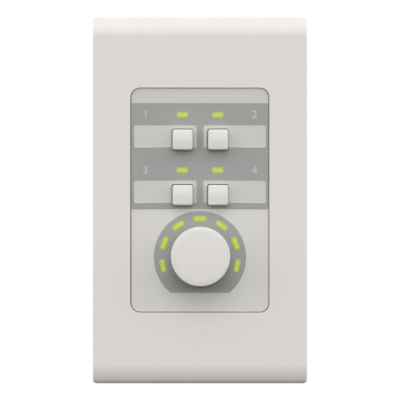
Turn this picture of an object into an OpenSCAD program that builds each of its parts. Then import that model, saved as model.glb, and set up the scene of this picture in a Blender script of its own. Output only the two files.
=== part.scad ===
// Audio zone control panel for a single-gang wall box.
// Modelled lying face up: x right, y up the wall, z out of the wall. stand() turns it upright.

/* [Wall plate] */
// Width of the wall plate
plate_w = 70; // [64:0.5:84]
// Height of the wall plate
plate_h = 120; // [116:0.5:140]
// Depth of the wall plate, from the wall to its flat front
plate_d = 8; // [7.6:0.1:10]
// Thickness of the wall plate's shell
plate_wall = 2.2; // [1.6:0.1:2.6]
// Height of the curved brow along the top and bottom edges
brow_h = 6.3; // [5:0.1:8]
// How far the brow falls back from the flat front
brow_drop = 1.9; // [1.5:0.1:4.5]
// Radius of the round that ends the brow at the top and bottom
edge_r = 1.9; // [0.8:0.1:2.1]
// Corner radius of the wall plate's outline
plate_corner = 1.2; // [0.6:0.1:3]
// Thickness of the rim that returns inward round the opening
lip_t = 1.5; // [1:0.1:2]
// Gap between that rim and the control panel's flange
lip_gap = 0.4; // [0.2:0.05:0.8]
// Radius of the snap pins
pin_r = 2; // [1.4:0.1:2.6]
// Distance of the snap pins from the strap's sides
pin_in_x = 4; // [3:0.5:6]
// Distance of the snap pins from the strap's ends
pin_in_y = 5; // [3:0.5:8]
// Radial clearance of the snap pins in the strap
pin_fit = 0.05; // [0.03:0.01:0.1]
// Gap between the snap pins' ends and the wall
pin_end_gap = 0.2; // [0.1:0.1:0.5]

/* [Mounting strap] */
// Gap between the steel strap's sides and the inside of the wall plate
strap_gap_x = 4.8; // [2:0.1:5.5]
// Gap between the steel strap's ends and the inside of the wall plate
strap_gap_y = 3.8; // [2:0.1:5]
// Thickness of the steel strap
strap_t = 1.5; // [1:0.1:2]
// Corner radius of the strap
strap_corner = 4; // [2:0.5:6]
// Spacing of the wall box screws
mount_spacing = 83.34; // [82:0.02:86]
// Radius of the wall box screw holes
mount_hole_r = 2; // [1.8:0.1:2.3]

/* [Control panel] */
// Width of the control panel
panel_w = 44.9; // [44:0.1:47]
// Height of the control panel
panel_h = 73.1; // [72.5:0.1:75]
// Gap between the control panel and the wall plate's opening
panel_gap = 0.25; // [0.2:0.05:0.6]
// How far the control panel sits back from the wall plate's front
panel_recess = 0.6; // [0.2:0.1:1.4]
// Thickness of the control panel's face
panel_t = 2; // [1.6:0.1:2.4]
// Thickness of the control panel's skirt
skirt_t = 1.8; // [1.2:0.1:2]
// Corner radius of the control panel
panel_corner = 2.8; // [1:0.1:4]
// How far the flange at the control panel's foot stands out
flange_w = 1.2; // [0.8:0.1:1.6]
// Thickness of that flange
flange_t = 1.5; // [1:0.1:2]
// Radius of the posts that carry the circuit board
post_r = 2; // [1.6:0.1:2.2]

/* [Zones] */
// Distance of the upper button row above the panel's middle
row_y = 19.7; // [19.4:0.05:20.2]
// Distance from one button row down to the next
row_pitch = 18.15; // [17.6:0.05:18.6]
// Distance between the left and right buttons
button_pitch = 11.64; // [11:0.02:12.4]
// Side of a square button
button_w = 6.7; // [5.6:0.1:7.2]
// Corner radius of a button
button_corner = 0.6; // [0.3:0.1:1.2]
// Gap between a button and its hole
button_gap = 0.25; // [0.2:0.05:0.5]
// How far a button stands out of the panel
button_rise = 4; // [1.5:0.1:4.5]
// How much higher the middle of a button is than its upper and lower edges
button_crown = 0.3; // [0.2:0.05:0.8]
// Travel of a button
button_travel = 0.5; // [0.3:0.05:0.8]
// How far a button's flange reaches past its hole
button_hold = 0.65; // [0.4:0.05:0.8]
// Thickness of a button's flange
button_flange_t = 1; // [0.7:0.1:1.2]
// Gap between a button's flange and the panel
button_stop_gap = 0.1; // [0.05:0.05:0.3]
// Thickness of the dark films
film_t = 0.25; // [0.15:0.05:0.4]
// Gap between the zone film's sides and the panel's edge
film_edge = 0.2; // [0.1:0.05:0.6]
// Height of the zone film above the upper button row
band_above = 12.05; // [11:0.05:12.6]
// Depth of the zone film below the lower button row
band_below = 4.4; // [4.2:0.05:4.9]
// Width of dark film at the outer end of a label window
label_edge = 0.55; // [0.3:0.05:3]
// Height of a label window
label_h = 7.6; // [6:0.1:8.2]
// Corner radius of a label window
label_corner = 0.7; // [0.3:0.1:1.5]
// Distance between the left and right label windows
label_gap = 2; // [1.6:0.1:2.6]
// Height of a label window's middle above its button
label_up = 1.25; // [0.7:0.05:1.4]
// Width of a zone lens
zone_lens_w = 3.8; // [3:0.1:4.4]
// Height of a zone lens
zone_lens_h = 1.85; // [1.4:0.05:2.1]
// Height of a zone lens above its button
zone_lens_up = 8.2; // [7.8:0.05:8.4]

/* [Level dial] */
// Distance of the dial below the panel's middle
dial_down = 18.65; // [18.4:0.05:19.2]
// Radius of the dial's dark film
dial_r = 15.05; // [14.4:0.05:15.4]
// Distance of the film's flat lower edge below the dial's middle
dial_flat = 11.6; // [10:0.1:13]
// Radius of the circle that the level lenses stand on
level_r = 12.5; // [12:0.05:12.8]
// Angle from one level lens to the next
level_step = 34.4; // [30:0.2:36]
// Length of a level lens along the circle
level_lens_w = 4.25; // [3.4:0.05:4.8]
// Width of a level lens across the circle
level_lens_h = 1.75; // [1.3:0.05:2]
// Radius of the knob over its serrations
knob_r = 9.9; // [9.4:0.05:10.4]
// Radius of the knob over its serrations at the front, which is a little narrower
knob_front_r = 9.8; // [9.3:0.05:9.9]
// Height of the knob's front above the panel
knob_h = 12.7; // [11.5:0.1:15]
// Gap between the knob and the dial film
knob_gap = 0.45; // [0.3:0.05:1]
// Width of the bevel round the knob's front
bevel_w = 1.4; // [0.8:0.1:2]
// How far that bevel falls back from the knob's front
bevel_drop = 0.3; // [0.2:0.05:0.8]
// Number of serrations round the knob
flutes = 60; // [40:4:120]
// Depth of a serration
flute_d = 0.35; // [0.1:0.05:0.5]
// Thickness of the knob's shell
knob_wall = 1.3; // [1:0.1:1.8]

/* [Encoder] */
// Side of the encoder's square housing
encoder_w = 12; // [11:0.1:13]
// Height of the encoder, from the board to its mounting face
encoder_h = 6; // [5.8:0.1:6.6]
// Thickness of the encoder's metal top plate
encoder_plate_t = 0.8; // [0.6:0.1:1.2]
// Radius of the encoder's bushing
bush_r = 3.5; // [3.3:0.1:3.8]
// Radius of the encoder's shaft
shaft_r = 3; // [2.6:0.1:3.05]
// Radial clearance of the shaft in the bushing
shaft_fit = 0.05; // [0.03:0.01:0.1]
// Depth of the flat on the shaft
shaft_flat = 1.5; // [0.8:0.1:1.8]
// Radial clearance of the shaft in the knob
knob_fit = 0.03; // [0.02:0.01:0.05]
// Thickness of the knob's front over the shaft's end
knob_cap_t = 1.7; // [1.3:0.1:2.4]
// Radius of the washer
washer_r = 5.4; // [4.8:0.1:5.7]
// Thickness of the washer
washer_t = 0.5; // [0.3:0.1:0.8]
// Width of the nut across its flats
nut_w = 10; // [9:0.1:10.4]
// Thickness of the nut
nut_t = 2; // [1.5:0.1:2.2]
// Length of bushing that shows past the nut
bush_past = 0.2; // [0.1:0.1:0.5]
// Thickness of the encoder housing's floor
encoder_floor_t = 1; // [0.8:0.1:1.2]
// Radius of the rotor
rotor_r = 4.8; // [4.2:0.1:5]
// Thickness of the rotor
rotor_t = 2.2; // [1.8:0.1:2.3]
// Gap above and below the rotor
rotor_gap = 0.3; // [0.2:0.05:0.35]
// Gap between the rotor's rim and the housing
rotor_side_gap = 0.4; // [0.3:0.05:0.6]
// Thickness of the detent spring
detent_t = 0.3; // [0.2:0.05:0.4]
// Width and depth of a detent notch
notch_w = 0.5; // [0.4:0.05:0.6]
// Number of detents
detents = 24; // [12:1:30]

/* [Circuit board] */
// Thickness of the circuit board
board_t = 1.6; // [1.2:0.1:2]
// Gap between the circuit board and the rear case
board_gap = 0.5; // [0.3:0.1:0.7]
// Side of a push switch
switch_w = 6; // [5:0.1:6.4]
// Height of a push switch's base
switch_h = 3.4; // [3:0.1:3.8]
// Radius of a push switch's plunger
plunger_r = 1.75; // [1.4:0.05:2]
// Radial clearance of a plunger in its base
plunger_fit = 0.05; // [0.03:0.01:0.1]
// Height of a plunger's end above its base
plunger_rise = 1.5; // [1.2:0.1:1.8]
// Side of the controller chip
controller_w = 10; // [7:0.5:12]
// Thickness of the controller chip
controller_t = 1.4; // [1:0.1:2]
// Length of the bus transceiver chip
transceiver_w = 5; // [4:0.1:6]
// Thickness of the bus transceiver chip
transceiver_t = 1.6; // [1.2:0.1:2]
// Side of the regulator
regulator_w = 6.3; // [5:0.1:7]
// Thickness of the regulator
regulator_t = 2.3; // [1.6:0.1:2.6]
// Radius of the capacitor
capacitor_r = 3.15; // [2.5:0.05:3.4]
// Height of the capacitor
capacitor_h = 7.7; // [5:0.1:9]
// Gap between these parts and their neighbours
solder_gap = 1.25; // [1:0.05:1.5]
// Height of a LED on the board
led_h = 1; // [0.6:0.1:1.4]
// Gap between a LED and its lens
led_gap = 0.2; // [0.1:0.05:0.4]
// How far a lens's shoulder reaches past its hole
lens_hold = 0.7; // [0.4:0.1:0.9]
// Thickness of a lens's shoulder
lens_shoulder_t = 1; // [0.7:0.1:1.4]
// Gap between a lens and its hole
lens_fit = 0.06; // [0.04:0.01:0.12]

/* [Rear case] */
// Thickness of the rear case's walls
rear_wall = 1.6; // [1.2:0.1:2]
// Thickness of the rear case's flange
rear_flange_t = 2; // [1.6:0.1:2.6]
// How far the rear case's walls stand in from its flange
rear_lip = 1; // [0.8:0.1:1.4]
// Depth of the rear case's lower half
shallow_d = 9.6; // [9.4:0.1:12]
// Distance of the deep half's step below the bus sockets
deep_margin = 4.5; // [3.5:0.1:5]
// Number of cooling slots
vents = 7; // [3:1:8]
// Width of a cooling slot
vent_w = 1.6; // [1:0.1:2]
// Length of a cooling slot
vent_h = 13; // [8:0.5:14]
// Distance of the cooling slots from the rear case's lower end
vent_in = 3.35; // [2.5:0.05:5]

/* [Bus sockets] */
// Width of a bus socket
jack_w = 15.9; // [15:0.1:16.4]
// Height of a bus socket
jack_h = 14; // [13:0.1:14.4]
// Depth of a bus socket
jack_d = 17; // [16:0.1:20]
// Distance between the two bus sockets
jack_pitch = 17.9; // [17.4:0.1:18.4]
// Distance of the bus sockets' middle from the rear case's upper end
jack_in = 18.35; // [17.9:0.05:18.8]
// How far a bus socket stands out of the rear case
jack_past = 0.6; // [0.2:0.1:1.2]
// Gap between a bus socket and the rear case
jack_gap = 0.3; // [0.2:0.05:0.5]
// Width of the socket's plug opening
plug_w = 11.9; // [11.7:0.1:12.4]
// Height of the socket's plug opening
plug_h = 8; // [7.6:0.1:8.6]
// Depth of the socket's plug opening
plug_d = 13; // [12:0.1:14]
// Width of the socket's latch groove
latch_w = 6.2; // [5.6:0.1:6.8]
// Depth of the socket's latch groove
latch_h = 1.7; // [1.2:0.1:2]
// Distance from one contact to the next
contact_pitch = 1.02; // [0.96:0.01:1.1]
// Width of a contact
contact_w = 0.45; // [0.3:0.05:0.6]
// How far the contacts reach into the plug opening
contact_reach = 2.4; // [1.6:0.1:2.6]

/* [Address switch] */
// Width of the address switch
dip_w = 11.7; // [11:0.1:12.4]
// Height of the address switch
dip_h = 9.6; // [9:0.1:10]
// Depth of the address switch
dip_d = 4.7; // [4.5:0.1:5]
// Distance of the address switch below the middle
dip_down = 4; // [3.6:0.1:4.6]
// Gap between the address switch and its window
dip_gap = 0.3; // [0.2:0.05:0.5]
// Distance from one slider to the next
slider_pitch = 2.54; // [2.4:0.02:2.6]
// Width of a slider
slider_w = 1.2; // [0.9:0.05:1.4]
// Length of a slider
slider_l = 1.8; // [1.4:0.1:2.2]
// Travel of a slider
slider_travel = 1.8; // [1.2:0.1:2.2]
// How far a slider stands out of the switch
slider_rise = 0.6; // [0.4:0.1:0.8]
// Clearance of a slider in its slot
slider_fit = 0.08; // [0.05:0.01:0.12]

/* [Screws] */
// Distance of the case screws from the control panel's sides
case_screw_in = 2.9; // [2.7:0.05:3.2]
// Radius of a case screw's thread
case_screw_r = 1.2; // [1:0.05:1.25]
// Radius of a case screw's head
case_head_r = 2.2; // [1.9:0.1:2.4]
// Height of a case screw's head
case_head_t = 1.6; // [1.2:0.1:2]
// Length of a case screw below its head
case_screw_l = 6.2; // [5.6:0.1:6.6]
// Room between a case screw's head and the rear case
case_head_gap = 0.6; // [0.4:0.1:0.9]
// Radius of a board screw's thread
board_screw_r = 0.9; // [0.8:0.05:1.1]
// Radius of a board screw's head
board_head_r = 1.8; // [1.6:0.1:1.9]
// Height of a board screw's head
board_head_t = 1.3; // [1:0.1:1.6]
// Length of a board screw below its head
board_screw_l = 6; // [5:0.5:7]
// Radial clearance of a screw in its pilot hole
screw_fit = 0.04; // [0.02:0.01:0.06]
// Radial clearance of a screw in a plate that it passes through
screw_pass = 0.25; // [0.2:0.05:0.3]
// Depth of a screw's driver slot
screw_slot_d = 0.7; // [0.4:0.1:0.9]
// Width of a screw's driver slot
screw_slot_w = 0.6; // [0.4:0.1:0.8]

/* [Hidden] */
$fn = 64;
eps = 0.5;
level_count = 7;

// Colours
plate_colour = [0.85, 0.84, 0.82];
panel_colour = [0.79, 0.79, 0.77];
film_colour = [0.6, 0.6, 0.58];
button_colour = [0.86, 0.85, 0.83];
lens_colour = [0.75, 0.84, 0.3];
steel_colour = [0.7, 0.71, 0.72];
case_colour = [0.16, 0.16, 0.17];
board_colour = [0.06, 0.3, 0.16];
chip_colour = [0.09, 0.09, 0.1];
brass_colour = [0.8, 0.66, 0.3];
white_colour = [0.93, 0.93, 0.9];
blue_colour = [0.1, 0.25, 0.55];

// Levels out of the wall
panel_z = plate_d - panel_recess;
panel_back = panel_z - panel_t;
film_z = panel_z + film_t;
flange_z = strap_t + flange_t;
lip_z = flange_z + lip_gap;
boss_drop = 1;
seat_z = panel_back - boss_drop;
board_z = seat_z - encoder_h;
board_back = board_z - board_t;
button_z = panel_z + button_rise;
switch_z = board_z + switch_h;
plunger_z = switch_z + plunger_rise;
button_flange_z = panel_back - button_stop_gap;
lens_z = film_z + 0.05;
lens_low = board_z + led_h + led_gap;
rotor_low = board_z + encoder_floor_t + rotor_gap;
rotor_high = rotor_low + rotor_t;
nut_low = panel_z + washer_t;
nut_z = nut_low + nut_t;
bush_z = nut_z + bush_past;
knob_low = film_z + knob_gap;
knob_z = panel_z + knob_h;
shaft_z = knob_z - knob_cap_t;
jack_z = board_back - jack_d;
deep_z = jack_z + jack_past;
dip_z = board_back - dip_d;

// Outlines
strap_w = plate_w - 2 * plate_wall - 2 * strap_gap_x;
strap_h = plate_h - 2 * plate_wall - 2 * strap_gap_y;
pin_x = strap_w / 2 - pin_in_x;
pin_y = strap_h / 2 - pin_in_y;
brow_r = (brow_h * brow_h + brow_drop * brow_drop) / (2 * brow_drop);
open_w = panel_w + 2 * panel_gap;
open_h = panel_h + 2 * panel_gap;
open_corner = panel_corner + panel_gap;
film_w = panel_w - 2 * film_edge;
label_w = (film_w - label_gap) / 2 - label_edge;
hole_w = button_w + 2 * button_gap;
hole_corner = button_corner + button_gap;
screw_x = panel_w / 2 - case_screw_in;
screw_y = panel_h / 2 - case_screw_in;
notch_x = screw_x - case_head_r - case_head_gap;
notch_y = screw_y - case_head_r - case_head_gap;
rear_x = panel_w / 2 - rear_lip;
rear_y = panel_h / 2 - rear_lip;
board_in = rear_wall + board_gap;
post_x = rear_x - board_in - board_head_r - 0.9;
post_y = notch_y - board_in - board_head_r - 0.3;
jack_y = rear_y - jack_in;
deep_y = jack_y - jack_h / 2 - deep_margin;
dial_y = -dial_down;
crown_r = (button_w * button_w / 4 + button_crown * button_crown) / (2 * button_crown);
knob_taper = knob_front_r / knob_r;
knob_root = knob_taper * (knob_r - flute_d);
bore_r = shaft_r + shaft_fit;
plug_up = 0.8;
vent_pitch = 2.2 * vent_w;
vent_y = vent_in - rear_y;

// Points of a quarter arc about a centre
function arc_points(cx, cy, r, from) =
    [for (i = [0:6]) [cx + r * cos(from + 15 * i), cy + r * sin(from + 15 * i)]];

// Points of a rectangle with rounded corners
function rounded(w, h, r) = concat(
    arc_points(w / 2 - r, h / 2 - r, r, 0),
    arc_points(r - w / 2, h / 2 - r, r, 90),
    arc_points(r - w / 2, r - h / 2, r, 180),
    arc_points(w / 2 - r, r - h / 2, r, 270)
);

// Points of a rectangle with its corners cut out in steps
function stepped(x, y, nx, ny) = [
    [x, -ny], [x, ny], [nx, ny], [nx, y],
    [-nx, y], [-nx, ny], [-x, ny], [-x, -ny],
    [-nx, -ny], [-nx, -y], [nx, -y], [nx, -ny]
];

// Points of a ring of fine serrations
function serrated(r, d, n) =
    [for (i = [0:2 * n - 1]) (r - d * (i % 2)) * [cos(180 * i / n), sin(180 * i / n)]];

// Zone numbers run left to right, then down
function zone_x(i) = (i % 2 == 1 ? -0.5 : 0.5) * button_pitch;
function zone_y(i) = row_y - (i > 2 ? row_pitch : 0);

module slab(points, low, high) {
    translate([0, 0, low])
        linear_extrude(high - low)
            polygon(points);
}

module rod(r, low, high) {
    translate([0, 0, low])
        cylinder(r = r, h = high - low);
}

module corners(x, y) {
    for (sx = [-1, 1], sy = [-1, 1])
        translate([sx * x, sy * y, 0])
            children();
}

module at_zone(i) {
    translate([zone_x(i), zone_y(i), 0])
        children();
}

module at_lens(i) {
    translate([zone_x(i), zone_y(i) + zone_lens_up, 0])
        children();
}

module at_level(i) {
    translate([0, dial_y, 0])
        rotate(-(i - (level_count + 1) / 2) * level_step)
            translate([0, level_r, 0])
                children();
}

module stand() {
    rotate([90, 0, 0])
        children();
}

// Wall plate

// The brow's arc runs into the round at the turn, whose middle is level with the rim
module plate_profile(inset, low, round_r) {
    half = plate_h / 2 - inset;
    front = plate_d - inset;
    flat = plate_h / 2 - brow_h;
    r = brow_r - inset;
    mid = plate_d - brow_r;
    reach = half - flat - round_r;
    rim = mid + sqrt((r - round_r) * (r - round_r) - reach * reach);
    turn = flat + reach * r / (r - round_r);
    translate([low, -half])
        square([rim - low, 2 * half]);
    translate([low, -flat])
        square([front - low, 2 * flat]);
    for (s = [-1, 1]) {
        intersection() {
            translate([mid, s * flat])
                circle(r);
            translate([rim - eps, s > 0 ? flat - eps : -turn])
                square([front - rim + 2 * eps, turn - flat + eps]);
        }
        if (round_r > 0)
            translate([rim, s * (half - round_r)])
                circle(round_r);
    }
}

module plate_form(inset, low, round_r) {
    intersection() {
        rotate([0, -90, 0])
            linear_extrude(plate_w + 2, center = true)
                plate_profile(inset, low, round_r);
        slab(rounded(plate_w - 2 * inset, plate_h - 2 * inset, plate_corner), low - 1, plate_d + 1);
    }
}

module wall_plate() {
    color(plate_colour)
        difference() {
            union() {
                difference() {
                    plate_form(0, 0, edge_r);
                    plate_form(plate_wall, -1, 0);
                }
                slab(rounded(open_w + 2 * lip_t, open_h + 2 * lip_t, open_corner), lip_z, plate_d - 1);
                corners(pin_x, pin_y)
                    rod(pin_r, pin_end_gap, plate_d - 1);
            }
            slab(rounded(open_w, open_h, open_corner), -1, plate_d + 1);
        }
}

// Mounting strap

module mounting_strap() {
    color(steel_colour)
        difference() {
            slab(rounded(strap_w, strap_h, strap_corner), 0, strap_t);
            slab(stepped(rear_x - rear_wall, rear_y - rear_wall, notch_x - rear_wall, notch_y - rear_wall),
                -1, strap_t + 1);
            for (s = [-1, 1])
                translate([0, s * mount_spacing / 2, 0])
                    rod(mount_hole_r, -1, strap_t + 1);
            corners(pin_x, pin_y)
                rod(pin_r + pin_fit, -1, strap_t + 1);
            corners(screw_x, screw_y)
                rod(case_screw_r + screw_pass, -1, strap_t + 1);
        }
}

// Control panel

module lens_hole(w, h) {
    slab(rounded(w + 2 * lens_fit, h + 2 * lens_fit, h / 3), panel_back - 1, film_z + 1);
}

module button_hole() {
    slab(rounded(hole_w, hole_w, hole_corner), panel_back - 1, film_z + 1);
}

module control_panel() {
    color(panel_colour)
        difference() {
            union() {
                difference() {
                    union() {
                        slab(rounded(panel_w, panel_h, panel_corner), strap_t, panel_z);
                        slab(rounded(panel_w + 2 * flange_w, panel_h + 2 * flange_w, panel_corner + flange_w),
                            strap_t, flange_z);
                    }
                    slab(rounded(panel_w - 2 * skirt_t, panel_h - 2 * skirt_t, panel_corner - skirt_t / 2),
                        strap_t - 1, panel_back);
                }
                corners(screw_x, screw_y)
                    rod(case_screw_in - 0.4, strap_t, panel_back + eps);
                corners(post_x, post_y)
                    rod(post_r, board_z, panel_back + eps);
                translate([0, dial_y, 0])
                    rod(encoder_w / 2 + 1.5, seat_z, panel_back + eps);
            }
            for (i = [1:4]) {
                at_zone(i)
                    button_hole();
                at_lens(i)
                    lens_hole(zone_lens_w, zone_lens_h);
            }
            for (i = [1:level_count])
                at_level(i)
                    lens_hole(level_lens_w, level_lens_h);
            translate([0, dial_y, 0])
                rod(bush_r + screw_pass, seat_z - 1, panel_z + 1);
            corners(screw_x, screw_y)
                rod(case_screw_r + screw_fit, strap_t - 1, case_screw_l - rear_flange_t + 0.5);
            corners(post_x, post_y)
                rod(board_screw_r + screw_fit, board_z - 1, board_back + board_screw_l + 0.5);
        }
}

// Films

module zone_overlay() {
    top = row_y + band_above;
    low = row_y - row_pitch - band_below;
    color(film_colour)
        difference() {
            translate([-film_w / 2, low, panel_z])
                cube([film_w, top - low, film_t]);
            for (i = [1:4]) {
                translate([sign(zone_x(i)) * (label_gap + label_w) / 2, zone_y(i) + label_up, 0])
                    slab(rounded(label_w, label_h, label_corner), panel_z - 1, film_z + 1);
                at_zone(i)
                    button_hole();
                at_lens(i)
                    lens_hole(zone_lens_w, zone_lens_h);
            }
        }
}

module level_overlay() {
    color(film_colour)
        difference() {
            translate([0, dial_y, 0])
                difference() {
                    rod(dial_r, panel_z, film_z);
                    rod(washer_r + 0.8, panel_z - 1, film_z + 1);
                    translate([-dial_r, -dial_flat - dial_r, panel_z - 1])
                        cube([2 * dial_r, dial_r, film_t + 2]);
                }
            for (i = [1:level_count])
                at_level(i)
                    lens_hole(level_lens_w, level_lens_h);
        }
}

// Lenses and LEDs

module lens(w, h) {
    color(lens_colour) {
        slab(rounded(w, h, h / 3), panel_back - eps, lens_z);
        slab(rounded(w + 2 * lens_hold, h + 2 * lens_hold, h / 3), panel_back - lens_shoulder_t, panel_back);
        slab(rounded(w - 0.8, h - 0.2, h / 4), lens_low, panel_back - eps);
    }
}

module led(w) {
    color(white_colour)
        translate([-w / 2, -0.75, board_z])
            cube([w, 1.5, led_h]);
}

module zone_leds() {
    for (i = [1:4])
        at_lens(i)
            led(zone_lens_w - 1);
}

module level_leds() {
    for (i = [1:level_count])
        at_level(i)
            led(level_lens_w - 1);
}

// Buttons and push switches

module button(i) {
    low = button_flange_z - button_flange_t;
    wide = hole_w + 2 * button_hold;
    hollow = button_w - 2;
    color(button_colour)
        at_zone(i) {
            difference() {
                union() {
                    intersection() {
                        slab(rounded(button_w, button_w, button_corner), low, button_z + 1);
                        translate([0, 0, button_z - crown_r])
                            rotate([0, 90, 0])
                                cylinder(r = crown_r, h = button_w + 2, center = true, $fn = 128);
                    }
                    slab(rounded(wide, wide, button_corner), low, button_flange_z);
                }
                slab(rounded(hollow, hollow, button_corner / 2), low - 1, button_z - 1.4);
            }
            rod(plunger_r, plunger_z, button_z - 1.2);
        }
}

module switch_base(i) {
    color(chip_colour)
        at_zone(i)
            difference() {
                translate([-switch_w / 2, -switch_w / 2, board_z])
                    cube([switch_w, switch_w, switch_h]);
                rod(plunger_r + plunger_fit, board_z + 0.8, switch_z + 1);
            }
}

module switch_plunger(i) {
    color(white_colour)
        at_zone(i)
            rod(plunger_r, board_z + 0.9 + button_travel, plunger_z);
}

// Level knob and encoder

module shaft_form(r, low, high, flat_low) {
    difference() {
        rod(r, low, high);
        translate([-r - 1, r - shaft_flat, flat_low])
            cube([2 * r + 2, r + 1, high - flat_low + 1]);
    }
}

module knob() {
    shoulder = knob_z - bevel_drop;
    hub_low = bush_z + 0.4;
    rim_r = knob_root - 0.15;
    color(button_colour)
        translate([0, dial_y, 0])
            difference() {
                union() {
                    difference() {
                        translate([0, 0, knob_low])
                            linear_extrude(shoulder - knob_low, scale = knob_taper)
                                polygon(serrated(knob_r, flute_d, flutes));
                        rod(knob_root - knob_wall, knob_low - 1, knob_z - knob_cap_t);
                    }
                    translate([0, 0, shoulder])
                        cylinder(r1 = rim_r, r2 = rim_r - bevel_w, h = bevel_drop);
                    rod(shaft_r + 2, hub_low, knob_z - eps);
                    rod(rim_r - bevel_w, knob_z - knob_cap_t, knob_z - bevel_drop / 2);
                }
                shaft_form(shaft_r + knob_fit, hub_low - 1, shaft_z, hub_low - 1);
            }
}

module encoder_body() {
    high = seat_z - encoder_plate_t;
    color(chip_colour)
        translate([0, dial_y, 0])
            difference() {
                translate([-encoder_w / 2, -encoder_w / 2, board_z])
                    cube([encoder_w, encoder_w, high - board_z]);
                rod(rotor_r + rotor_side_gap, board_z + encoder_floor_t, high + 1);
            }
}

module encoder_bushing() {
    color(steel_colour)
        translate([0, dial_y, 0])
            difference() {
                union() {
                    translate([-encoder_w / 2, -encoder_w / 2, seat_z - encoder_plate_t])
                        cube([encoder_w, encoder_w, encoder_plate_t]);
                    rod(bush_r, seat_z - eps, bush_z);
                }
                rod(bore_r, seat_z - encoder_plate_t - 1, bush_z + 1);
            }
}

module encoder_shaft() {
    color(steel_colour)
        translate([0, dial_y, 0]) {
            shaft_form(shaft_r, rotor_high + rotor_gap / 3, shaft_z, bush_z + 0.4);
            rod(shaft_r - 1, rotor_low - rotor_gap / 3, rotor_high + eps);
        }
}

module encoder_rotor() {
    color(white_colour)
        translate([0, dial_y, 0])
            difference() {
                rod(rotor_r, rotor_low, rotor_high);
                rod(shaft_r - 1 + knob_fit, rotor_low - 1, rotor_high + 1);
                for (i = [0:detents - 1])
                    rotate(360 * i / detents)
                        translate([rotor_r - 1, -notch_w / 2, rotor_high - notch_w])
                            cube([2, notch_w, 1]);
            }
}

module encoder_detent() {
    high = seat_z - encoder_plate_t;
    color(steel_colour)
        translate([0, dial_y, 0]) {
            difference() {
                rod(rotor_r + rotor_side_gap / 2, high - detent_t, high);
                rod(shaft_r + rotor_side_gap, high - 1, high + 1);
            }
            translate([rotor_r - 1, -notch_w / 2, rotor_high + rotor_gap])
                cube([0.8, notch_w, high - detent_t / 3 - rotor_high - rotor_gap]);
        }
}

module encoder_washer() {
    color(steel_colour)
        translate([0, dial_y, 0])
            difference() {
                rod(washer_r, panel_z, nut_low);
                rod(bush_r + screw_fit, panel_z - 1, nut_low + 1);
            }
}

module encoder_nut() {
    color(steel_colour)
        translate([0, dial_y, 0])
            difference() {
                translate([0, 0, nut_low])
                    cylinder(r = nut_w / sqrt(3), h = nut_t, $fn = 6);
                rod(bush_r + screw_fit, nut_low - 1, nut_z + 1);
            }
}

// Circuit board and what is soldered to it

module control_board() {
    color(board_colour)
        difference() {
            slab(stepped(rear_x - board_in, rear_y - board_in, notch_x - board_in, notch_y - board_in),
                board_back, board_z);
            corners(post_x, post_y)
                rod(board_screw_r + screw_pass, board_back - 1, board_z + 1);
        }
}

module chip(x, y, w, h, t) {
    color(chip_colour)
        translate([x - w / 2, y - h / 2, board_back - t])
            cube([w, h, t]);
}

module controller_chip() {
    chip(0, dial_y - 3.5, controller_w, controller_w, controller_t);
}

module transceiver_chip() {
    x = dip_w / 2 + dip_gap + solder_gap + transceiver_w / 2;
    chip(x, -dip_down, transceiver_w, 0.8 * transceiver_w, transceiver_t);
}

module regulator_chip() {
    x = dip_w / 2 + dip_gap + solder_gap + regulator_w / 2;
    chip(-x, -dip_down, regulator_w, regulator_w, regulator_t);
}

module bulk_capacitor() {
    color(steel_colour)
        translate([0, jack_y + jack_h / 2 + solder_gap + capacitor_r, 0])
            rod(capacitor_r, board_back - capacitor_h, board_back);
}

module jack_place(s) {
    translate([s * jack_pitch / 2, jack_y, 0])
        children();
}

module bus_jack(s) {
    color(chip_colour)
        jack_place(s)
            difference() {
                translate([-jack_w / 2, -jack_h / 2, jack_z])
                    cube([jack_w, jack_h, jack_d]);
                translate([-plug_w / 2, plug_up - plug_h / 2, jack_z - 1])
                    cube([plug_w, plug_h, plug_d + 1]);
                translate([-latch_w / 2, plug_up - plug_h / 2 - latch_h, jack_z - 1])
                    cube([latch_w, latch_h + 1, plug_d + 1]);
            }
}

module contacts(s) {
    top = plug_up + plug_h / 2;
    deep = jack_z + plug_d;
    color(brass_colour)
        jack_place(s)
            for (i = [0:7])
                translate([(i - 3.5) * contact_pitch - contact_w / 2, 0, 0])
                    rotate([90, 0, 90])
                        linear_extrude(contact_w)
                            polygon([
                                [top, deep], [top - 0.4, deep], [top - 0.4, jack_z + 3.4],
                                [top - contact_reach, deep - 3], [top - contact_reach - 0.3, deep - 3.3],
                                [top - 0.4, jack_z + 2.2], [top, jack_z + 2.2]
                            ]);
}

module dip_place() {
    translate([0, -dip_down, 0])
        children();
}

module dip_body() {
    slot_l = slider_l + slider_travel + 2 * slider_fit;
    slot_w = slider_w + 2 * slider_fit;
    color(blue_colour)
        dip_place()
            difference() {
                translate([-dip_w / 2, -dip_h / 2, dip_z])
                    cube([dip_w, dip_h, dip_d]);
                for (i = [1:4])
                    translate([(i - 2.5) * slider_pitch - slot_w / 2, -slot_l / 2, dip_z - 1])
                        cube([slot_w, slot_l, 2.5]);
            }
}

module dip_slider(i) {
    x = (i - 2.5) * slider_pitch - slider_w / 2;
    y = -(slider_l + slider_travel) / 2;
    color(white_colour)
        dip_place()
            translate([x, y, dip_z - slider_rise])
                cube([slider_w, slider_l, slider_rise + 1.5 - slider_fit]);
}

// Rear case and screws

module rear_form(inset, back, low_y) {
    intersection() {
        slab(stepped(rear_x - inset, rear_y - inset, notch_x - inset, notch_y - inset), back, 0);
        translate([-rear_x - 1, low_y, back - 1])
            cube([2 * rear_x + 2, rear_y - low_y + 1, 2 - back]);
    }
}

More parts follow.
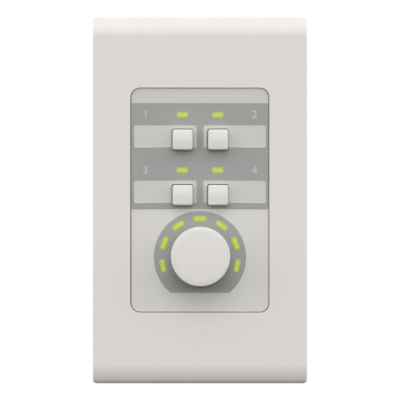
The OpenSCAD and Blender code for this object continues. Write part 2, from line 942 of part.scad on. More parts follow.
module rear_case() {
    color(case_colour)
        difference() {
            union() {
                slab(rounded(panel_w, panel_h, panel_corner), -rear_flange_t, 0);
                rear_form(0, -shallow_d, -rear_y - 1);
                rear_form(0, deep_z, deep_y);
            }
            translate([0, 0, eps])
                rear_form(rear_wall, rear_wall - shallow_d - eps, -rear_y - 1);
            translate([0, 0, eps])
                rear_form(rear_wall, deep_z + rear_wall - eps, deep_y + rear_wall);
            corners(screw_x, screw_y)
                rod(case_screw_r + screw_pass, -rear_flange_t - 1, 1);
            for (s = [-1, 1])
                jack_place(s)
                    translate([-jack_w / 2 - jack_gap, -jack_h / 2 - jack_gap, deep_z - 1])
                        cube([jack_w + 2 * jack_gap, jack_h + 2 * jack_gap, rear_wall + 2]);
            dip_place()
                translate([-dip_w / 2 - dip_gap, -dip_h / 2 - dip_gap, -shallow_d - 1])
                    cube([dip_w + 2 * dip_gap, dip_h + 2 * dip_gap, rear_wall + 2]);
            for (i = [1:vents])
                translate([(i - (vents + 1) / 2) * vent_pitch - vent_w / 2, vent_y, -shallow_d - 1])
                    cube([vent_w, vent_h, rear_wall + 2]);
        }
}

// A screw pointing out of the wall with its head's seat at a level
module screw(seat, r, l, head_r, head_t) {
    difference() {
        union() {
            rod(r, seat - eps, seat + l);
            rod(head_r, seat - head_t, seat);
        }
        translate([-head_r - 1, -screw_slot_w / 2, seat - head_t - 1])
            cube([2 * head_r + 2, screw_slot_w, screw_slot_d + 1]);
        translate([-screw_slot_w / 2, -head_r - 1, seat - head_t - 1])
            cube([screw_slot_w, 2 * head_r + 2, screw_slot_d + 1]);
    }
}

module case_screws() {
    color(steel_colour)
        corners(screw_x, screw_y)
            screw(-rear_flange_t, case_screw_r, case_screw_l, case_head_r, case_head_t);
}

module board_screws() {
    color(steel_colour)
        corners(post_x, post_y)
            screw(board_back, board_screw_r, board_screw_l, board_head_r, board_head_t);
}

stand() wall_plate();
stand() control_panel();
stand() zone_overlay();
stand() level_overlay();
stand() mounting_strap();
stand() rear_case();
stand() control_board();
stand() knob();
stand() encoder_body();
stand() encoder_bushing();
stand() encoder_shaft();
stand() encoder_rotor();
stand() encoder_detent();
stand() encoder_washer();
stand() encoder_nut();
stand() zone_leds();
stand() level_leds();
stand() controller_chip();
stand() transceiver_chip();
stand() regulator_chip();
stand() bulk_capacitor();
stand() bus_jack(-1);  // bus_jack_in
stand() bus_jack(1);  // bus_jack_out
stand() contacts(-1);  // jack_in_contacts
stand() contacts(1);  // jack_out_contacts
stand() dip_body();
stand() case_screws();
stand() board_screws();
for (i = [1:4]) {
    stand() button(i);
    stand() switch_base(i);
    stand() switch_plunger(i);
    stand() at_lens(i) lens(zone_lens_w, zone_lens_h);
    stand() dip_slider(i);
}
for (i = [1:level_count])
    stand() at_level(i) lens(level_lens_w, level_lens_h);
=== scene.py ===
import math

import bmesh
import bpy
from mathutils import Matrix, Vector


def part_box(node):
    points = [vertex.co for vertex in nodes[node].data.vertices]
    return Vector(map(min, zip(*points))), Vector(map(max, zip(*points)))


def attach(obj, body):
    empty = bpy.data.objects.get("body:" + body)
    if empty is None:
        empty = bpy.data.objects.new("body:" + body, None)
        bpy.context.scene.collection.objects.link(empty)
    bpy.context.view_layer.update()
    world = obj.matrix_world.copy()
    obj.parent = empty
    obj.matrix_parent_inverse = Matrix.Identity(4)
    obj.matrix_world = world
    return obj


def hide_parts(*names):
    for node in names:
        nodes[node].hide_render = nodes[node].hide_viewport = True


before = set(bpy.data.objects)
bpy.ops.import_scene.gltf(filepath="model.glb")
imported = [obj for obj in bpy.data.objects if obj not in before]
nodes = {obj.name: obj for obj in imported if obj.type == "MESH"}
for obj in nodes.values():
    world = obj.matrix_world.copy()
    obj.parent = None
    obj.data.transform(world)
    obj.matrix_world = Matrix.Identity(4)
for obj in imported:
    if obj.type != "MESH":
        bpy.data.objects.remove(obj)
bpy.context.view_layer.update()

MM = 0.001
ZONES = range(1, 5)
LEVELS = range(1, 8)


# Node helpers for the materials and the world


def srgb(r, g, b):
    """Linear colour of an 8-bit one."""
    out = []
    for c in (r, g, b):
        c /= 255
        out.append(c / 12.92 if c <= 0.04045 else ((c + 0.055) / 1.055) ** 2.4)
    return (*out, 1.0)


def shade(colour, k):
    """The same colour, k times as bright."""
    return (*[min(1.0, c * k) for c in colour[:3]], 1.0)


def add_node(tree, kind, **settings):
    node = tree.nodes.new(kind)
    for key, value in settings.items():
        setattr(node, key, value)
    return node


def add_range(tree, value, low, high, start, end):
    """Maps a value from start and end to low and high."""
    node = add_node(tree, "ShaderNodeMapRange")
    ends = {"From Min": start, "From Max": end, "To Min": low, "To Max": high}
    for socket, number in ends.items():
        node.inputs[socket].default_value = number
    tree.links.new(value, node.inputs["Value"])
    return node.outputs["Result"]


def seen_rays(tree):
    """1 on the rays that show a background: from the camera, by gloss or through glass."""
    path = add_node(tree, "ShaderNodeLightPath")
    seen = path.outputs["Is Camera Ray"]
    for ray in ("Is Glossy Ray", "Is Transmission Ray"):
        both = add_node(tree, "ShaderNodeMath", operation="MAXIMUM")
        tree.links.new(seen, both.inputs[0])
        tree.links.new(path.outputs[ray], both.inputs[1])
        seen = both.outputs[0]
    return seen


class Nodes:
    """A new material with its shader and a few short ways to add nodes to it."""

    def __init__(self, name):
        self.mat = bpy.data.materials.new(name)
        self.mat.use_nodes = True
        self.tree = self.mat.node_tree
        self.shader = self.tree.nodes["Principled BSDF"]
        self.coord = self.add("ShaderNodeTexCoord").outputs["Object"]

    def add(self, kind, **settings):
        return add_node(self.tree, kind, **settings)

    def link(self, a, b):
        self.tree.links.new(a, b)

    def mapped(self, **settings):
        """The object's coordinates, scaled or turned."""
        node = self.add("ShaderNodeMapping")
        for socket, value in settings.items():
            node.inputs[socket].default_value = value
        self.link(self.coord, node.inputs["Vector"])
        return node.outputs["Vector"]

    def noise(self, scale, detail=3.0, rough=0.5, vector=None):
        node = self.add("ShaderNodeTexNoise")
        node.inputs["Scale"].default_value = scale
        node.inputs["Detail"].default_value = detail
        node.inputs["Roughness"].default_value = rough
        self.link(vector or self.coord, node.inputs["Vector"])
        return node.outputs["Fac"]

    def cells(self, scale):
        node = self.add("ShaderNodeTexVoronoi", feature="F1")
        node.inputs["Scale"].default_value = scale
        self.link(self.coord, node.inputs["Vector"])
        return node.outputs["Distance"]

    def ranged(self, value, low, high, start=0.3, end=0.7):
        return add_range(self.tree, value, low, high, start, end)

    def mixed(self, fac, a, b):
        node = self.add("ShaderNodeMix", data_type="RGBA")
        self.link(fac, node.inputs[0])
        for value, socket in ((a, node.inputs[6]), (b, node.inputs[7])):
            if isinstance(value, tuple):
                socket.default_value = value
            else:
                self.link(value, socket)
        return node.outputs[2]

    def bump(self, height, strength, depth):
        node = self.add("ShaderNodeBump")
        node.inputs["Strength"].default_value = strength
        node.inputs["Distance"].default_value = depth
        self.link(height, node.inputs["Height"])
        self.link(node.outputs["Normal"], self.shader.inputs["Normal"])

    def colour(self, output):
        self.link(output, self.shader.inputs["Base Color"])

    def roughness(self, output):
        self.link(output, self.shader.inputs["Roughness"])


# Materials


def moulded(name, colour, rough, grain=2600.0, depth=0.03 * MM, spread=0.006, level=0.5, veil=None):
    """Moulded plastic: a fine spark-eroded grain, and a slight drift of tone and gloss.

    veil is the height above which a clear film lies over it, and how much light it lets back.
    """
    m = Nodes(name)
    drift = m.ranged(m.noise(30.0, 2.0), 0.0, 1.0, 0.2, 0.8)
    tone = m.mixed(drift, shade(colour, 1 - spread), shade(colour, 1 + spread))
    if veil:
        height, k = veil
        parts = m.add("ShaderNodeSeparateXYZ")
        m.link(m.coord, parts.inputs[0])
        covered = m.ranged(parts.outputs["Z"], 0.0, 1.0, height, height + 0.1 * MM)
        under_film = m.mixed(drift, shade(colour, k - spread), shade(colour, k + spread))
        tone = m.mixed(covered, tone, under_film)
    m.colour(tone)
    m.roughness(m.ranged(m.noise(1200.0, 3.0), rough - 0.02, rough + 0.02))
    m.bump(m.noise(grain, 2.0), 0.35, depth)
    m.shader.inputs["Specular IOR Level"].default_value = level
    return m.mat


def printed(name, colour, rough):
    """Printed film: a velvet of tiny cells over an even ink."""
    m = Nodes(name)
    ink = m.ranged(m.noise(70.0, 4.0), 0.0, 1.0)
    m.colour(m.mixed(ink, shade(colour, 0.975), shade(colour, 1.025)))
    m.roughness(m.ranged(m.noise(900.0, 2.0), rough - 0.06, rough + 0.06))
    m.bump(m.cells(5200.0), 0.25, 0.02 * MM)
    m.shader.inputs["Specular IOR Level"].default_value = 0.35
    return m.mat


def glowing(name, colour, light, edge, strength):
    """Tinted light pipe, lit from behind, with a diffuser's faint mottle and a dimmer rim."""
    m = Nodes(name)
    mottle = m.ranged(m.noise(1500.0, 3.0), 0.0, 1.0)
    rim = m.add("ShaderNodeAttribute", attribute_name="rim").outputs["Fac"]
    lit = m.mixed(mottle, shade(light, 0.86), light)
    m.colour(m.mixed(rim, m.mixed(mottle, shade(colour, 0.85), colour), edge))
    m.link(m.mixed(rim, lit, shade(light, 0.3)), m.shader.inputs["Emission Color"])
    m.shader.inputs["Emission Strength"].default_value = strength
    m.roughness(m.ranged(m.noise(400.0, 2.0), 0.3, 0.42))
    m.bump(m.noise(3000.0, 2.0), 0.2, 0.02 * MM)
    return m.mat


def metal(name, colour, rough, along):
    """Rolled or turned metal: streaks along one way, with cloudy gloss."""
    m = Nodes(name)
    streaks = m.noise(220.0, 5.0, 0.6, m.mapped(Scale=along))
    m.colour(m.mixed(m.ranged(streaks, 0.0, 1.0), shade(colour, 0.86), colour))
    m.roughness(m.ranged(m.noise(130.0, 4.0), rough - 0.08, rough + 0.1))
    m.bump(streaks, 0.25, 0.03 * MM)
    m.shader.inputs["Metallic"].default_value = 1.0
    return m.mat


def circuit(name, mask, copper):
    """Solder mask over faint copper tracks."""
    m = Nodes(name)
    tracks = m.add("ShaderNodeTexBrick")
    tracks.inputs["Scale"].default_value = 260.0
    tracks.inputs["Mortar Size"].default_value = 0.06
    tracks.inputs["Color1"].default_value = mask
    tracks.inputs["Color2"].default_value = shade(mask, 0.86)
    tracks.inputs["Mortar"].default_value = copper
    m.link(m.mapped(Rotation=(math.pi / 2, 0, 0)), tracks.inputs["Vector"])
    m.colour(tracks.outputs["Color"])
    m.roughness(m.ranged(m.noise(300.0, 3.0), 0.28, 0.4))
    m.bump(tracks.outputs["Fac"], 0.3, 0.03 * MM)
    return m.mat


SATIN = {"rough": 0.3, "grain": 6000.0, "depth": 0.006 * MM, "level": 0.9}
FILM_LOW_END = -2.5 * MM
FILM_TONE = 0.895

plate_white = moulded("plate_white", srgb(216, 213, 208), **SATIN)
panel_grey = moulded(
    "panel_grey",
    srgb(208, 206, 202),
    0.5,
    grain=6000.0,
    depth=0.01 * MM,
    veil=(FILM_LOW_END, FILM_TONE),
)
film_grey = printed("film_grey", srgb(154, 156, 154), 0.52)
button_white = moulded("button_white", srgb(218, 216, 211), **SATIN)
knob_white = moulded("knob_white", srgb(217, 214, 210), **SATIN)
numeral_grey = printed("numeral_grey", srgb(190, 190, 188), 0.55)
lens_green = glowing(
    "lens_green",
    srgb(150, 172, 50),
    light=srgb(190, 212, 60),
    edge=srgb(150, 160, 110),
    strength=0.45,
)
strap_steel = metal("strap_steel", (0.62, 0.63, 0.64, 1), 0.36, (1, 1, 0.04))
part_steel = metal("part_steel", (0.66, 0.66, 0.67, 1), 0.32, (0.1, 1, 0.1))
can_aluminium = metal("can_aluminium", (0.78, 0.79, 0.8, 1), 0.28, (1, 0.05, 1))
contact_gold = metal("contact_gold", (0.83, 0.6, 0.2, 1), 0.24, (1, 0.05, 1))
case_black = moulded("case_black", srgb(44, 44, 46), 0.55, 1500.0, 0.06 * MM, spread=0.08)
part_black = moulded("part_black", srgb(30, 30, 32), 0.38, grain=2200.0, spread=0.08)
part_white = moulded("part_white", srgb(228, 227, 220), 0.42)
switch_blue = moulded("switch_blue", srgb(34, 66, 132), 0.42, spread=0.05)
board_green = circuit("board_green", srgb(18, 78, 46), srgb(62, 122, 70))


# Mesh helpers


def finish_piece(bm, name, body, stands_for, material, smooth=40.0, weighted=True):
    """Makes a piece from a bmesh, rides it on its body and lets it stand for its CAD nodes."""
    bmesh.ops.recalc_face_normals(bm, faces=bm.faces)
    limit = math.radians(smooth)
    for f in bm.faces:
        f.smooth = True
    for e in bm.edges:
        if len(e.link_faces) == 2:
            e.smooth = e.calc_face_angle(0.0) < limit
    data = bpy.data.meshes.new(name)
    bm.to_mesh(data)
    bm.free()
    data.materials.append(material)
    obj = bpy.data.objects.new(name, data)
    bpy.context.scene.collection.objects.link(obj)
    if weighted:
        keep = obj.modifiers.new("even_normals", "WEIGHTED_NORMAL")
        keep.keep_sharp = True
        keep.weight = 100
    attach(obj, body)
    if stands_for:
        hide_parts(*stands_for)


def softened(node, body, material, width, segments=2, angle=35.0, ease=None):
    """A CAD node's shape with its sharp edges rounded by a width, and eased here and there."""
    bm = bmesh.new()
    bm.from_mesh(nodes[node].data)
    if ease:
        for v in bm.verts:
            v.co += ease(v.co)
    bmesh.ops.remove_doubles(bm, verts=bm.verts, dist=0.002 * MM)
    flat = math.radians(0.4)
    bmesh.ops.dissolve_limit(bm, angle_limit=flat, verts=bm.verts, edges=bm.edges)
    limit = math.radians(angle)
    sharp = [e for e in bm.edges if len(e.link_faces) == 2 and e.calc_face_angle(0.0) > limit]
    bmesh.ops.bevel(
        bm,
        geom=sharp,
        offset=width,
        offset_type="OFFSET",
        segments=segments,
        profile=0.5,
        affect="EDGES",
        clamp_overlap=True,
    )
    finish_piece(bm, node + "_piece", body, [node], material)


def outline(w, h, r, side):
    """Points of a rounded rectangle in x and z, anticlockwise seen from the front.

    Each corner has 6 steps, and each straight side as many as side says.
    """
    arc = 6
    points = []
    x, z = w / 2 - r, h / 2 - r
    middles = [(x, z), (-x, z), (-x, -z), (x, -z)]
    for k, (cx, cz) in enumerate(middles):
        for i in range(arc + 1):
            a = math.radians(90 * (k + i / arc))
            points.append((cx + r * math.cos(a), cz + r * math.sin(a)))
        nx, nz = middles[(k + 1) % 4]
        a = math.radians(90 * (k + 1))
        ex, ez = cx + r * math.cos(a), cz + r * math.sin(a)
        fx, fz = nx + r * math.cos(a), nz + r * math.sin(a)
        for i in range(1, side):
            points.append((ex + (fx - ex) * i / side, ez + (fz - ez) * i / side))
    return points


def loft(bm, loops):
    """Skins a row of loops of equal length, and closes both ends with a fan."""
    rings = [[bm.verts.new(p) for p in loop] for loop in loops]
    n = len(rings[0])
    for a, b in zip(rings, rings[1:]):
        for i in range(n):
            j = (i + 1) % n
            bm.faces.new((a[i], a[j], b[j], b[i]))
    for ring in (rings[0], rings[-1]):
        mid = bm.verts.new(sum((v.co for v in ring), Vector()) / n)
        for i in range(n):
            bm.faces.new((ring[i], ring[(i + 1) % n], mid))
    return rings


def middle(node):
    low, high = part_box(node)
    return (low + high) / 2


# Wall plate, panel and films


button_middles = [middle(f"button_{i}") for i in ZONES]
panel_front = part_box("control_panel")[0].y

HOLE_REACH = 4.0 * MM
HOLE_LEFT_IN = 0.14 * MM
HOLE_TOP_UP = 0.1 * MM
HOLE_LOW_UP = 0.17 * MM

PANEL_FACE_DEEP = 3.0 * MM
PANEL_TOP_START = 33.5 * MM
PANEL_TOP_RUN = 3.0 * MM
PANEL_TOP_UP = 0.14 * MM
PANEL_LEFT_EDGE = -22.3 * MM
PANEL_LEFT_OUT = 0.03 * MM

OPENING_LEFT = -22.7 * MM
OPENING_BAND = 0.2 * MM
OPENING_HALF_TALL = 36.9 * MM
OPENING_LEFT_OUT = 0.09 * MM
RIM_START = 57.4 * MM
RIM_FRONT = -4.5 * MM
RIM_LEAN = 60.0


def hole_eased(p):
    """The holes of the buttons sit a little higher than the caps, and closer on the left."""
    for centre in button_middles:
        if max(abs(p.x - centre.x), abs(p.z - centre.z)) < HOLE_REACH:
            across = HOLE_LEFT_IN if p.x < centre.x else 0
            return Vector((across, 0, HOLE_TOP_UP if p.z > centre.z else HOLE_LOW_UP))
    return Vector()


def panel_eased(p):
    """The panel's face sits closer to the plate along its top than along its sides."""
    move = hole_eased(p)
    if p.y < panel_front + PANEL_FACE_DEEP:
        if p.z > PANEL_TOP_START:
            move.z += PANEL_TOP_UP * (p.z - PANEL_TOP_START) / PANEL_TOP_RUN
        if p.x < PANEL_LEFT_EDGE:
            move.x -= PANEL_LEFT_OUT
    return move


def plate_eased(p):
    """The opening is a little wider on the left, and the upper and lower rims lean back more."""
    on_left = abs(p.x - OPENING_LEFT) < OPENING_BAND and abs(p.z) < OPENING_HALF_TALL
    past = max(abs(p.z) - RIM_START, 0.0) if p.y < RIM_FRONT else 0.0
    return Vector((-OPENING_LEFT_OUT if on_left else 0, RIM_LEAN * past ** 2, 0))


softened("wall_plate", "wall_plate", plate_white, 0.55 * MM, 4, 20.0, plate_eased)
softened("control_panel", "base", panel_grey, 0.25 * MM, 3, ease=panel_eased)
softened("zone_overlay", "base", film_grey, 0.06 * MM, ease=hole_eased)
softened("level_overlay", "base", film_grey, 0.06 * MM)


# Buttons: a square cap with a low rounded ridge, soft edges, a flange and a hollow back


def make_button(i):
    node = f"button_{i}"
    low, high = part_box(node)
    cx, cz = (low.x + high.x) / 2 + 0.1 * MM, (low.z + high.z) / 2
    front, back = low.y, high.y
    wide, side = high.x - low.x, 6.66 * MM
    hollow, hollow_corner, hollow_end = side - 2 * MM, 0.4 * MM, front + 1.4 * MM
    shelf, chamfer = back - 1.0 * MM, 0.1 * MM
    corner, soft, ridge = 0.7 * MM, 0.5 * MM, 1.2 * MM
    up, down = math.tan(math.radians(4.5)), math.tan(math.radians(7.5))
    top = ridge * (down - up) / (down + up)

    def fall(z):
        """How far the face lies behind the ridge's top."""
        reach = max(-ridge, min(ridge, z))
        bend = (up + down) / (4 * ridge) * (reach - top) ** 2
        return bend + max(z - ridge, 0.0) * up + max(-ridge - z, 0.0) * down

    def ring(w, r, y):
        return [(cx + x, y, cz + z) for x, z in outline(w, w, r, 12)]

    def face(inset, drop):
        w, r = side - 2 * inset, max(corner - inset, 0.1 * MM)
        return [(cx + x, front + fall(z) + drop, cz + z) for x, z in outline(w, w, r, 12)]

    loops = [
        ring(hollow, hollow_corner, hollow_end),
        ring(hollow, hollow_corner, back),
        ring(wide - 2 * chamfer, corner, back),
        ring(wide, corner, back - chamfer),
        ring(wide, corner, shelf + chamfer),
        ring(wide - 2 * chamfer, corner, shelf),
        ring(side, corner, shelf),
    ]
    for k in range(7):
        a = math.radians(15 * k)
        loops.append(face(soft * (1 - math.cos(a)), soft * (1 - math.sin(a))))
    for k in (0.15, 0.3, 0.45, 0.55, 0.65, 0.75, 0.85, 0.95):
        loops.append(face(side / 2 * k, 0.0))
    bm = bmesh.new()
    loft(bm, loops)
    finish_piece(bm, f"button_cap_{i}", node, [node], button_white)


for i in ZONES:
    make_button(i)


# Level knob: fine serrations that run out into a slightly domed face, which leans back at its rim


def make_knob():
    low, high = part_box("knob")
    cx, cz = (low.x + high.x) / 2, (low.z + high.z) / 2
    front, back = low.y, high.y
    r_back = (high.x - low.x) / 2
    r_front = r_back * 9.8 / 9.9
    depth, teeth, per = 0.35 * MM, 60, 12
    edge, dome, lean, blend = 0.2 * MM, 0.15 * MM, math.radians(10.0), 0.4 * MM
    wall, hollow_end = 1.3 * MM, front + 1.7 * MM
    last = math.pi / 2 - lean
    r_face = r_front - 1.5 * MM
    r_edge = r_front - edge * (1 - math.cos(last))
    n = teeth * per

    def face(r):
        """The face's y at a radius: a dome, then a blend into the leaning rim."""
        if r < r_face:
            return front + dome * (r / r_face) ** 2
        past, start = r - r_face, 2 * dome / r_face
        more = math.tan(lean) - start
        bend = more / (2 * blend) * min(past, blend) ** 2
        return front + dome + past * start + bend + max(past - blend, 0.0) * more

    shoulder = face(r_edge) + edge * math.sin(last)

    def ring(r, y, bite=0.0):
        """A circle at y, with serrations as deep as bite says."""
        out = []
        for i in range(n):
            wave = abs(2 * (i % per) / per - 1)
            k = r - depth * bite * (1 - wave ** 1.4)
            a = 2 * math.pi * i / n
            out.append((cx + k * math.cos(a), y, cz + k * math.sin(a)))
        return out

    def side(y):
        return r_back + (r_front - r_back) * (back - y) / (back - shoulder)

    inner = r_front - depth - wall
    loops = [
        ring(inner, hollow_end),
        ring(inner, back),
        ring(r_back - 0.45 * MM, back),
        ring(r_back - 0.1 * MM, back - 0.15 * MM, 0.6),
        ring(side(back - 0.4 * MM), back - 0.4 * MM, 1),
        ring(side(back - 6 * MM), back - 6 * MM, 1),
        ring(r_front, shoulder, 1),
    ]
    for k in range(1, 6):
        a = last * k / 5
        r = r_front - edge * (1 - math.cos(a))
        loops.append(ring(r, shoulder - edge * math.sin(a), 1 - 0.9 * k / 5))
    for past in (0.15, 0.4, 0.6, 0.8, 0.95, 1.05, 1.15, 1.25):
        r = r_edge - past * MM
        loops.append(ring(r, face(r)))
    for k in (1.0, 0.9, 0.75, 0.6, 0.45, 0.3, 0.15, 0.05):
        loops.append(ring(r_face * k, face(r_face * k)))
    bm = bmesh.new()
    loft(bm, loops)
    finish_piece(bm, "level_knob", "knob", ["knob"], knob_white, 50.0)


make_knob()


# Lenses: soft-edged windows that stand just over the film, with a shoulder behind the panel


# Each row of a lens's face: its inset and drop in mm, and how far its light is dimmed
LENS_ROWS = (
    (0.0, 0.045, 1.0),
    (-0.1, 0.045, 1.0),
    (-0.07, 0.02, 1.0),
    (0.0, 0.01, 0.9),
    (0.12, 0.005, 0.75),
    (0.25, 0.0, 0.5),
    (0.42, 0.0, 0.22),
    (0.6, 0.0, 0.0),
)
LEVEL_STEP = 34.4


def make_lens(node, w, h, r, turn):
    centre = middle(node)
    low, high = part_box(node)
    front, back = low.y, high.y
    c, s = math.cos(turn), math.sin(turn)

    def ring(dw, y, rr):
        out = []
        for x, z in outline(w + dw, h + dw, min(rr, (h + dw) / 2 - 0.02 * MM), 3):
            out.append((centre.x + x * c - z * s, y, centre.z + x * s + z * c))
        return out

    pipe, flange = -0.6 * MM, 1.4 * MM
    skirt = panel_front + 2.0 * MM
    skirt_back = skirt + 1.0 * MM
    loops = [
        ring(pipe, back, r),
        ring(pipe, skirt_back, r),
        ring(flange, skirt_back, r),
        ring(flange, skirt, r),
        ring(0.0, skirt, r),
    ]
    dimmed = [1.0] * len(loops)
    for inset, drop, dim in LENS_ROWS:
        loops.append(ring(-2 * inset * MM, front + drop * MM, r - 0.6 * inset * MM))
        dimmed.append(dim)
    bm = bmesh.new()
    rim = bm.verts.layers.float.new("rim")
    for loop, dim in zip(loft(bm, loops), dimmed):
        for v in loop:
            v[rim] = dim
    finish_piece(bm, node + "_pipe", "base", [node], lens_green, 50.0)


for i in ZONES:
    make_lens(f"zone_lens_{i}", 3.8 * MM, 1.85 * MM, 0.7 * MM, 0.0)
for i in LEVELS:
    turn = math.radians(-(i - 4) * LEVEL_STEP)
    make_lens(f"level_lens_{i}", 4.25 * MM, 1.75 * MM, 0.55 * MM, turn)


# Label windows: a shallow moulded border inside the film's cut, open where the button's hole is


# Each row of the border's section: its inset and its height over the panel in mm
BORDER_ROWS = ((0.03, 0.0), (0.03, 0.09), (0.09, 0.09), (0.5, 0.004))


def make_border(i):
    side = -1 if i % 2 else 1
    w, h, r = 20.7 * MM, 7.6 * MM, 0.7 * MM
    cx, cz = side * 11.35 * MM, middle(f"button_{i}").z + 1.25 * MM
    hole, hole_half = side * 5.82 * MM - cx, 3.75 * MM
    near, far = hole - hole_half, hole + hole_half
    x, z = w / 2 - r, h / 2 - r
    corners = ((x, -z), (x, z), (-x, z), (-x, -z))

    def path(inset, y):
        rr = r - inset
        points = [(far, inset - h / 2)]
        for k, (ax, az) in enumerate(corners):
            for j in range(7):
                a = math.radians(90 * k - 90 + 15 * j)
                points.append((ax + rr * math.cos(a), az + rr * math.sin(a)))
        points.append((near, inset - h / 2))
        return [(cx + px, y, cz + pz) for px, pz in points]

    bm = bmesh.new()
    rows = []
    for inset, lift in BORDER_ROWS:
        rows.append([bm.verts.new(q) for q in path(inset * MM, panel_front - lift * MM)])
    for a, b in zip(rows, rows[1:] + rows[:1]):
        for j in range(len(a) - 1):
            bm.faces.new((a[j], a[j + 1], b[j + 1], b[j]))
    for j in (0, -1):
        bm.faces.new([row[j] for row in rows])
    finish_piece(bm, f"label_border_{i}", "base", [], panel_grey, 30.0)


for i in ZONES:
    make_border(i)


# Zone numbers, printed on the film


film_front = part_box("zone_overlay")[0].y
NUMBER_OUT = 17.9 * MM
INK = 0.01 * MM

# Outline of a figure one with a flag, in mm from its middle
ONE = (
    (0.36, -1.36),
    (0.36, 1.36),
    (0.06, 1.36),
    (-0.5, 0.92),
    (-0.5, 0.56),
    (0.02, 0.9),
    (0.02, -1.36),
)


def number_place(i):
    return (NUMBER_OUT * (-1 if i % 2 else 1), film_front, middle(f"zone_lens_{i}").z)


def make_one():
    x, y, z = number_place(1)
    bm = bmesh.new()
    rows = []
    for lift in (0.0, INK):
        rows.append([bm.verts.new((x + u * MM, y - lift, z + v * MM)) for u, v in ONE])
    bm.faces.new(rows[0])
    bm.faces.new(rows[1])
    for j in range(len(ONE)):
        k = (j + 1) % len(ONE)
        bm.faces.new((rows[0][j], rows[0][k], rows[1][k], rows[1][j]))
    finish_piece(bm, "zone_number_1", "base", [], numeral_grey, weighted=False)


def make_number(i):
    text = bpy.data.curves.new(f"zone_number_{i}", "FONT")
    text.body = str(i)
    text.size = 3.75 * MM
    text.offset = 0.035 * MM
    text.align_x = "CENTER"
    text.align_y = "CENTER"
    text.extrude = INK
    text.resolution_u = 6
    text.materials.append(numeral_grey)
    number = bpy.data.objects.new(f"zone_number_{i}", text)
    bpy.context.scene.collection.objects.link(number)
    number.location = number_place(i)
    number.rotation_euler = (math.pi / 2, 0, 0)
    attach(number, "base")


make_one()
for i in (2, 3, 4):
    make_number(i)


# Back of the unit and what is inside


softened("mounting_strap", "base", strap_steel, 0.15 * MM)
softened("rear_case", "base", case_black, 0.3 * MM, 3)
for name in ("bus_jack_in", "bus_jack_out"):
    softened(name, "base", part_black, 0.2 * MM)
for name in ("jack_in_contacts", "jack_out_contacts"):
    softened(name, "base", contact_gold, 0.05 * MM)
softened("dip_body", "base", switch_blue, 0.12 * MM)
for i in ZONES:
    softened(f"dip_slider_{i}", f"dip_slider_{i}", part_white, 0.1 * MM)
for name in ("case_screws", "board_screws"):
    softened(name, "base", part_steel, 0.1 * MM)
softened("bulk_capacitor", "base", can_aluminium, 0.4 * MM, 3)
for name in ("controller_chip", "transceiver_chip", "regulator_chip"):
    softened(name, "base", part_black, 0.1 * MM)

# Nodes that keep their CAD shape and take a material alone
kept = {
    "control_board": board_green,
    "encoder_body": part_black,
    "encoder_bushing": part_steel,
    "encoder_shaft": part_steel,
    "encoder_rotor": part_white,
    "encoder_detent": part_steel,
    "encoder_washer": part_steel,
    "encoder_nut": part_steel,
    "zone_leds": part_white,
    "level_leds": part_white,
}
for i in ZONES:
    kept[f"switch_base_{i}"] = part_black
    kept[f"switch_plunger_{i}"] = part_white
for name, material in kept.items():
    data = nodes[name].data
    data.materials.clear()
    data.materials.append(material)


# Floor, light and camera


FLOOR_HALF = 9.0
FLOOR_Z = -0.16
PAPER_DARK, PAPER_PALE = (0.5, 0.5, 0.49, 1), (0.52, 0.52, 0.51, 1)
FLOOR_BOUNCE = (0.115, 0.115, 0.115, 1)
LIGHT_TINT = (1.0, 0.995, 0.985)
HORIZON_LIGHT, ZENITH_LIGHT = 1.86, 0.88
LAMP_FAR = 12.0


def make_floor():
    """A pale paper floor that throws little light back up."""
    bm = bmesh.new()
    corners = [(-1, -1), (1, -1), (1, 1), (-1, 1)]
    bm.faces.new([bm.verts.new((x * FLOOR_HALF, y * FLOOR_HALF, FLOOR_Z)) for x, y in corners])
    data = bpy.data.meshes.new("floor")
    bm.to_mesh(data)
    bm.free()
    m = Nodes("floor_pale")
    paper = m.mixed(m.ranged(m.noise(3.0, 4.0), 0.0, 1.0), PAPER_DARK, PAPER_PALE)
    m.colour(m.mixed(seen_rays(m.tree), FLOOR_BOUNCE, paper))
    m.shader.inputs["Roughness"].default_value = 0.9
    data.materials.append(m.mat)
    floor = bpy.data.objects.new("floor", data)
    bpy.context.scene.collection.objects.link(floor)


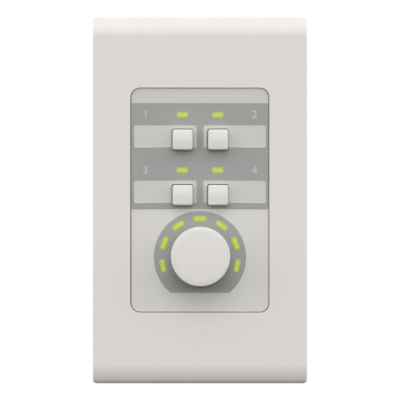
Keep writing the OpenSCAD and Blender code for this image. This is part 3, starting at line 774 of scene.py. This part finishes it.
def make_world():
    """A dome that is brightest at the horizon and shows as plain white."""
    world = bpy.data.worlds.new("studio")
    bpy.context.scene.world = world
    world.use_nodes = True
    tree = world.node_tree
    tree.nodes.clear()
    coord = add_node(tree, "ShaderNodeTexCoord")
    parts = add_node(tree, "ShaderNodeSeparateXYZ")
    dome = add_node(tree, "ShaderNodeBackground")
    dome.inputs["Color"].default_value = (*LIGHT_TINT, 1)
    white = add_node(tree, "ShaderNodeBackground")
    white.inputs["Strength"].default_value = 1.0
    white.inputs["Color"].default_value = (1, 1, 1, 1)
    pick = add_node(tree, "ShaderNodeMixShader")
    out = add_node(tree, "ShaderNodeOutputWorld")
    link = tree.links.new
    link(coord.outputs["Generated"], parts.inputs[0])
    rise = add_range(tree, parts.outputs["Z"], HORIZON_LIGHT, ZENITH_LIGHT, 0.0, 1.0)
    link(rise, dome.inputs["Strength"])
    link(seen_rays(tree), pick.inputs[0])
    link(dome.outputs[0], pick.inputs[1])
    link(white.outputs[0], pick.inputs[2])
    link(pick.outputs[0], out.inputs["Surface"])


def toward(across, up):
    """The way from the part to a point across from straight ahead and up from level."""
    flat = math.cos(up)
    return Vector((math.sin(across) * flat, -math.cos(across) * flat, math.sin(up)))


def make_lamp(name, up, power, size):
    """A round softbox straight ahead, up from level by an angle in degrees."""
    place = toward(0.0, math.radians(up)) * LAMP_FAR
    lamp = bpy.data.lights.new(name, "AREA")
    lamp.shape = "DISK"
    lamp.size = size
    lamp.energy = power
    lamp.color = LIGHT_TINT
    obj = bpy.data.objects.new(name, lamp)
    bpy.context.scene.collection.objects.link(obj)
    obj.location = place
    obj.rotation_mode = "QUATERNION"
    obj.rotation_quaternion = (-place).to_track_quat("-Z", "Y")


make_floor()
make_world()
make_lamp("softbox_key", 45, 160.0, 6.5)
make_lamp("softbox_front", 22, 108.0, 5.5)

REACH = 2.5
SWING = math.radians(-0.9)
RISE = math.radians(-1.25)
SENSOR_MM = 36.0
PICTURE_WIDE = 400 * 0.3273 * MM
aim = Vector((0.0, -8 * MM, 0.0))
camera = bpy.data.cameras.new("camera")
camera.sensor_width = SENSOR_MM
camera.lens = SENSOR_MM * REACH / PICTURE_WIDE
camera.clip_end = 20.0
eye = bpy.data.objects.new("camera", camera)
bpy.context.scene.collection.objects.link(eye)
eye.location = aim + REACH * toward(SWING, RISE)
eye.rotation_euler = (math.pi / 2 - RISE, 0, SWING)
bpy.context.scene.camera = eye
bpy.context.scene.view_settings.view_transform = "Standard"
